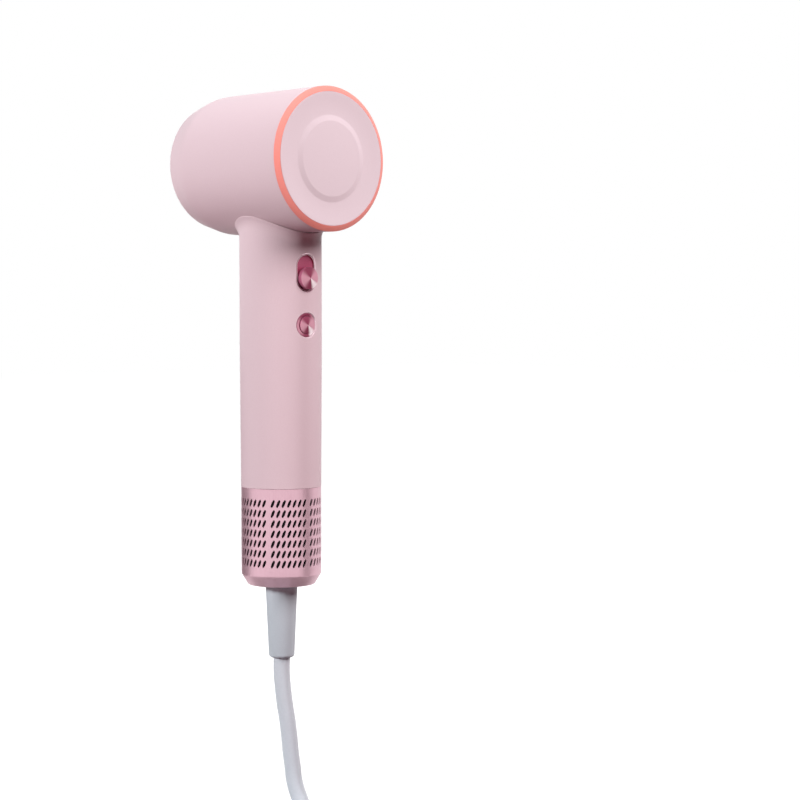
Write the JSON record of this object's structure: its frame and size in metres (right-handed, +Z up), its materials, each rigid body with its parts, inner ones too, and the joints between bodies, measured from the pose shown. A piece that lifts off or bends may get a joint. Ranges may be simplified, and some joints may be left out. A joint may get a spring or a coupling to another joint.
{
  "type": "travel hair dryer",
  "caption": "Slim hair dryer with a short round barrel, ring-shaped air outlet, straight handle with slider and button, perforated inlet cover and coiled cord with plug.",
  "frame": {"origin": "middle of the straight grip on the handle axis, where a holder ring or a hand carries the dryer", "axes": "+Z up along the handle to the head, -Y along the barrel to the air outlet, +X to the dryer's left as seen from the rear"},
  "size_m": [0.1671, 0.1378, 0.3903],
  "materials": {
    "body_pink": "pearl satin paint on moulded plastic",
    "accent_coral": "satin moulded plastic",
    "rear_pink": "satin paint on moulded plastic",
    "recess_black": "fine moulded texture",
    "outlet_grey": "satin moulded plastic",
    "funnel_grey": "satin moulded plastic",
    "control_pink": "spun and anodised",
    "control_floor": "deep metallic lacquer",
    "inlet_pink": "pearl metallic lacquer on perforated sheet",
    "cord_grey": "satin extruded jacket",
    "relief_grey": "satin moulded elastomer",
    "tie_grey": "moulded strap",
    "pin_metal": "nickel plated",
    "inner_plastic": "glass filled, as moulded",
    "circuit_board": "solder mask",
    "components": "moulded cases",
    "mica": "mica sheet",
    "heating_wire": "oxidised resistance wire",
    "screw_steel": "zinc plated",
    "bearing_steel": "ground",
    "motor_alloy": "die cast",
    "stator_iron": "laminated",
    "copper": "enamelled copper",
    "magnet": "nickel plated magnet",
    "damper_rubber": "soft moulded rubber",
    "filter_steel": "fine woven mesh",
    "wire_sheath": "silicone sheath"
  },
  "bodies": {
    "dryer": {"head_shell": "body_pink", "accent_ring": "accent_coral", "rear_cover": "rear_pink", "outlet_seat": "recess_black", "magnet_ring": "magnet", "outlet_grille": "outlet_grey", "outlet_funnel": "funnel_grey", "heat_sleeve": "mica", "heater_frame": "mica", "heater_coils": "heating_wire", "thermostat": "screw_steel", "thermal_fuse": "components", "head_frame": "inner_plastic", "main_board": "circuit_board", "board_parts": "components", "board_screws": "screw_steel", "neck_tube": "inner_plastic", "handle_shell": "body_pink", "slider_plate": "control_floor", "button_bezel": "control_pink", "switch_board": "circuit_board", "slide_switch": "components", "tact_switch": "components", "motor_damper": "damper_rubber", "motor_housing": "motor_alloy", "bearing_plate": "motor_alloy", "motor_bearings": "bearing_steel", "stator_core": "stator_iron", "stator_windings": "copper", "inlet_cage": "inner_plastic", "filter_mesh": "filter_steel", "cord_clamp": "inner_plastic", "clamp_screws": "screw_steel", "cord_relief": "relief_grey", "lead_wires": "wire_sheath", "power_cord": "cord_grey", "cord_coil": "cord_grey", "coil_tie": "tie_grey", "cord_tail": "cord_grey", "plug_body": "relief_grey", "plug_pins": "pin_metal"},
    "speed_slider": {"speed_slider": "control_pink", "slider_carriage": "inner_plastic"},
    "mode_button": {"mode_button": "control_pink", "tact_plunger": "inner_plastic"},
    "rotor": {"rotor_shaft": "bearing_steel", "rotor_magnet": "magnet", "impeller": "motor_alloy"},
    "inlet_cover": {"inlet_cover": "inlet_pink"}
  },
  "joints": [
    {"name": "speed_slide", "type": "slide", "parent": "dryer", "child": "speed_slider", "axis": [0, 0, 1], "range_m": [0, 0.006]},
    {"name": "button_press", "type": "slide", "parent": "dryer", "child": "mode_button", "axis": [0, -1, 0], "range_m": [0, 0.0008], "stiffness_N_per_m": 1500},
    {"name": "rotor_spin", "type": "hinge", "parent": "dryer", "child": "rotor", "pos_m": [0, 0, -0.028], "axis": [0, 0, 1], "continuous": true},
    {"name": "inlet_pull", "type": "slide", "parent": "dryer", "child": "inlet_cover", "axis": [0, 0, -1], "range_m": [0, 0.055]}
  ]
}
